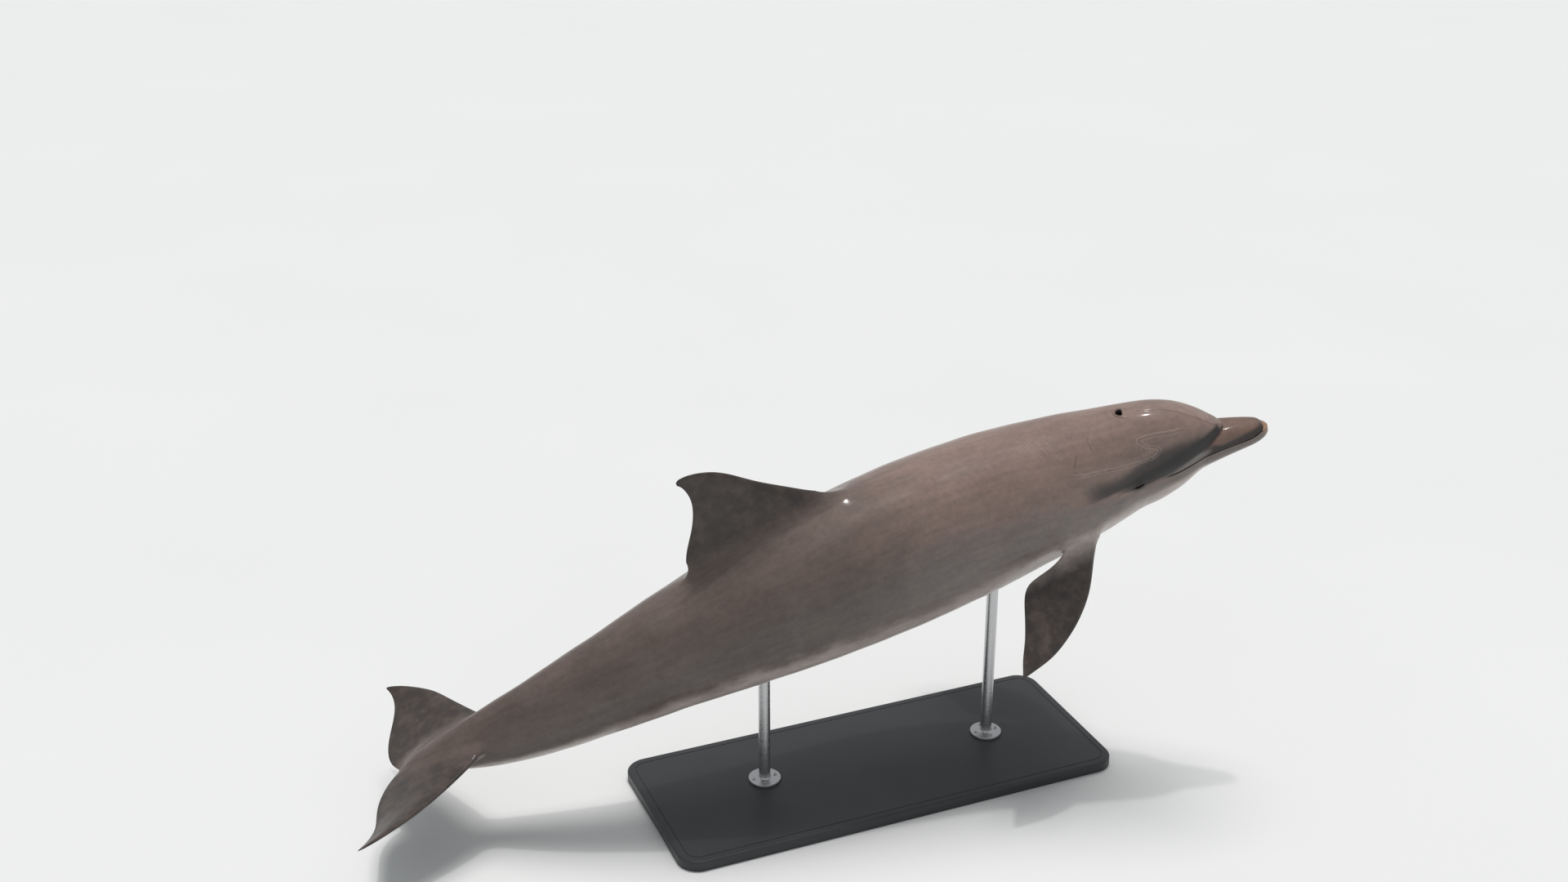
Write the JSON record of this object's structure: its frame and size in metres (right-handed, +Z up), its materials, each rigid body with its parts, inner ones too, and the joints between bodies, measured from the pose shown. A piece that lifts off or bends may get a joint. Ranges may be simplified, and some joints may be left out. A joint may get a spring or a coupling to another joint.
{
  "type": "bottlenose dolphin model",
  "caption": "Life-size bottlenose dolphin, nose up and bent to its right with the mouth closed, held over a flat base by upright steel rods.",
  "frame": {"origin": "on the floor, in the middle of the underside of the stand's base", "axes": "the animal faces +X, its left side is towards +Y, +Z is up"},
  "size_m": [2.4539, 0.9044, 1.0808],
  "materials": {
    "skin_back": "painted resin skin, wet-look gloss, brown-grey back shading to a paler belly",
    "skin_beak": "painted resin skin, wet-look gloss, brown",
    "skin_lower_jaw": "painted resin skin, wet-look gloss, pale with a worn orange tip",
    "skin_fins": "painted resin skin, wet-look gloss, dark grey-brown",
    "eye": "polished dark acrylic",
    "base_lacquer": "charcoal satin lacquer",
    "rod_steel": "brushed stainless steel"
  },
  "bodies": {
    "root": {"head": "skin_back", "upper_jaw": "skin_beak", "lower_jaw": "skin_lower_jaw", "eye_left": "eye", "eye_right": "eye", "neck": "skin_back", "chest": "skin_back", "loin": "skin_back", "tail_stock": "skin_back", "dorsal_fin": "skin_fins", "flipper_left": "skin_fins", "flipper_right": "skin_fins", "fluke_left": "skin_fins", "fluke_right": "skin_fins", "stand_base": "base_lacquer", "stand_rod_front": "rod_steel", "stand_rod_rear": "rod_steel"}
  },
  "joints": []
}
